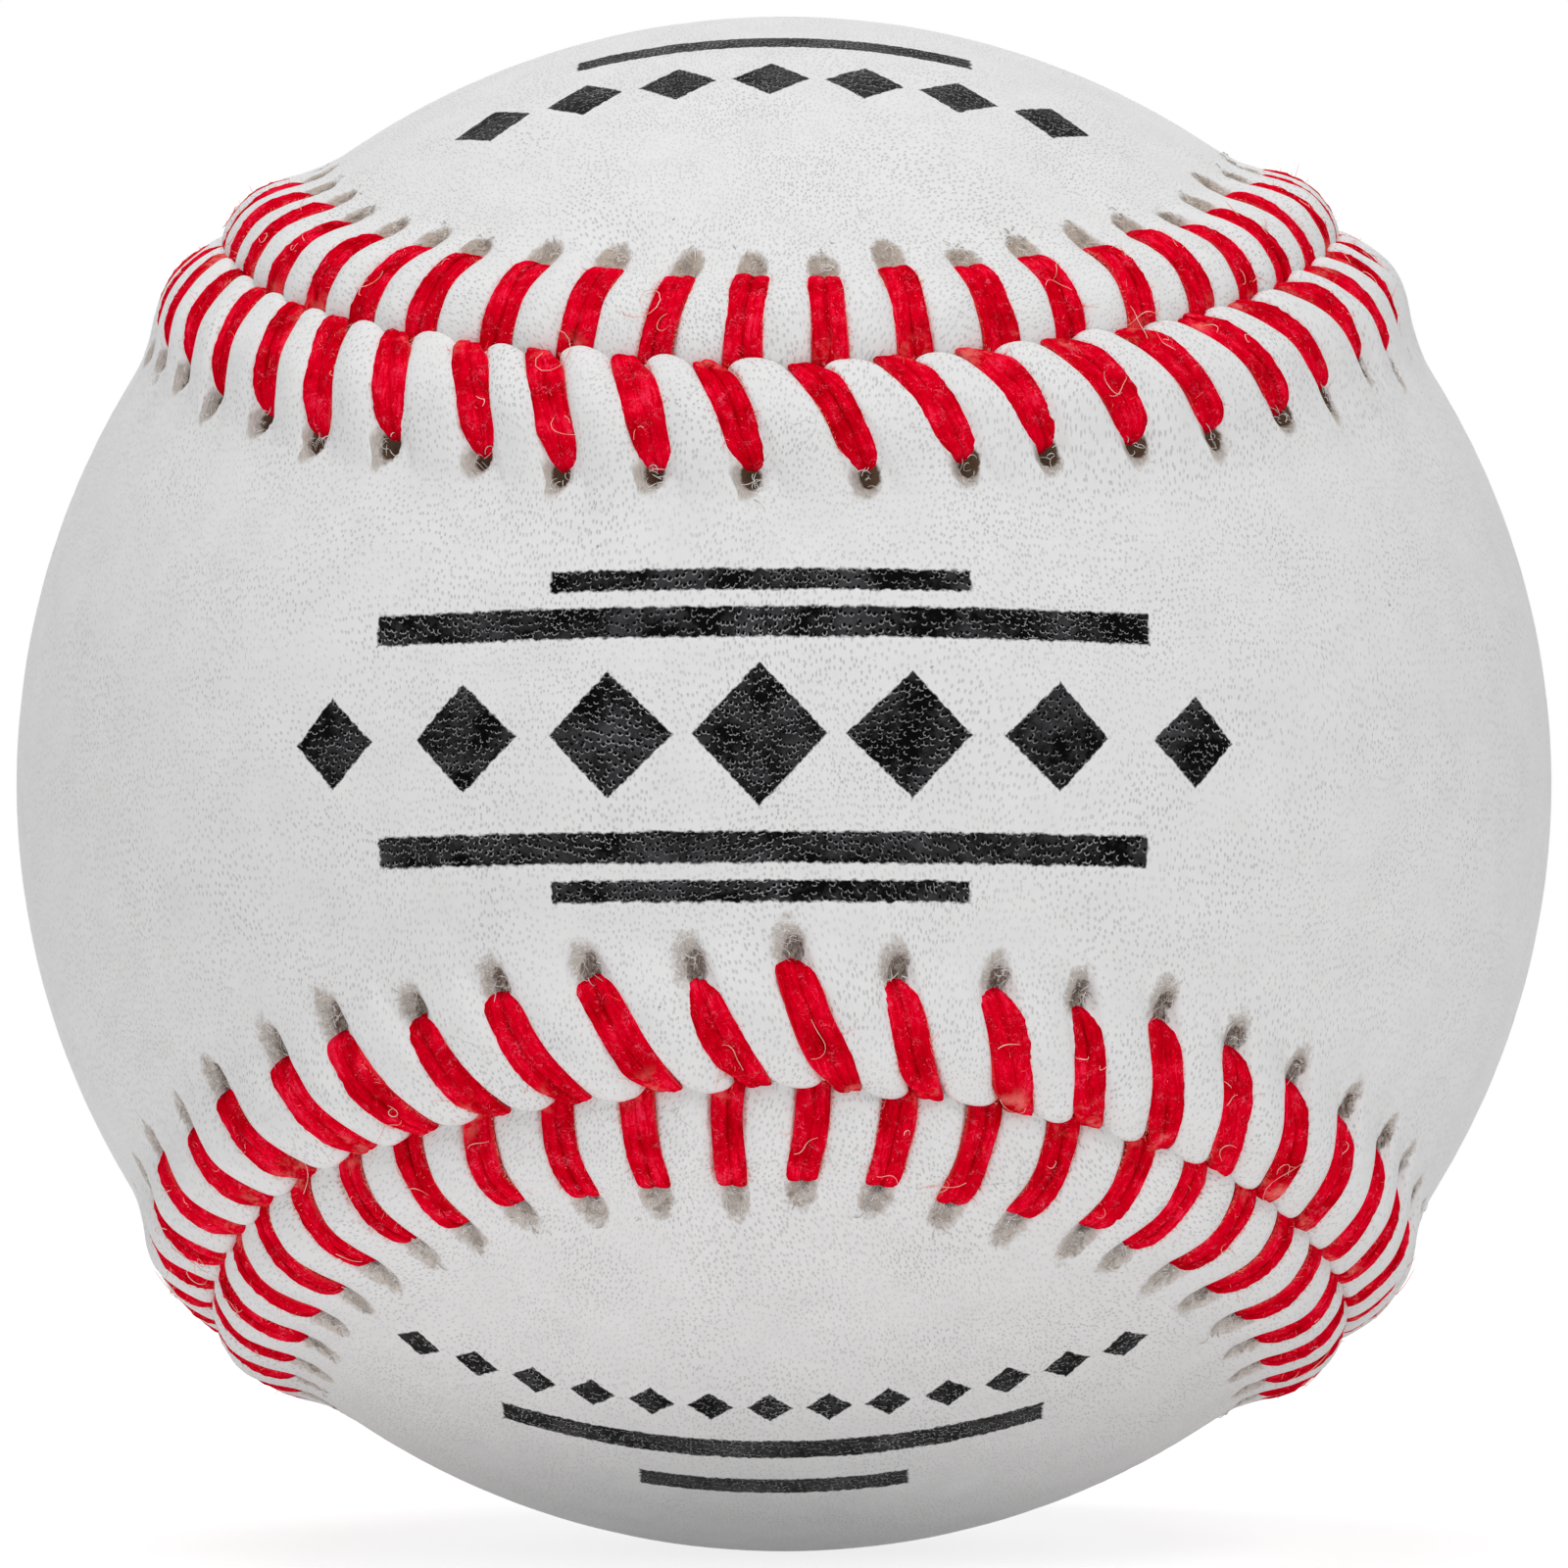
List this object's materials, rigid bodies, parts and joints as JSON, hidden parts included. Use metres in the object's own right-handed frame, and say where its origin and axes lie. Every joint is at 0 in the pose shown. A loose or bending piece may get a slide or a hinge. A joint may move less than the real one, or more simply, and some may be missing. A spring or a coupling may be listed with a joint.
{
  "type": "baseball",
  "caption": "Round ball of two laced leather panels over wound wool and a cushioned cork pill, for throwing, catching and batting.",
  "frame": {"origin": "the ball's centre", "axes": "-Y at the middle of panel A's narrow waist, +Y at panel B's waist, +X and -X at panel A's two lobes, +Z and -Z at panel B's two lobes"},
  "size_m": [0.0734, 0.0734, 0.0734],
  "materials": {
    "cork_composition": "matte, granular",
    "black_rubber": "matte",
    "red_rubber": "matte",
    "grey_wool": "wound yarn",
    "white_wool": "wound yarn",
    "cotton_yarn": "fine wound yarn",
    "rubber_cement": "thin tacky film",
    "white_leather": "full grain, fine pores, satin",
    "red_thread": "waxed, two strands, slightly hairy"
  },
  "bodies": {
    "root": {"cork_centre": "cork_composition", "black_rubber_shell_upper": "black_rubber", "black_rubber_shell_lower": "black_rubber", "red_rubber_gasket": "red_rubber", "red_rubber_shell_left": "red_rubber", "red_rubber_shell_right": "red_rubber", "grey_wool_winding_inner": "grey_wool", "white_wool_winding": "white_wool", "grey_wool_winding_outer": "grey_wool", "finishing_yarn_winding": "cotton_yarn", "barrier_coat": "rubber_cement", "cover_panel_a": "white_leather", "cover_panel_b": "white_leather", "stitch_thread_1": "red_thread", "stitch_thread_2": "red_thread"}
  },
  "joints": []
}
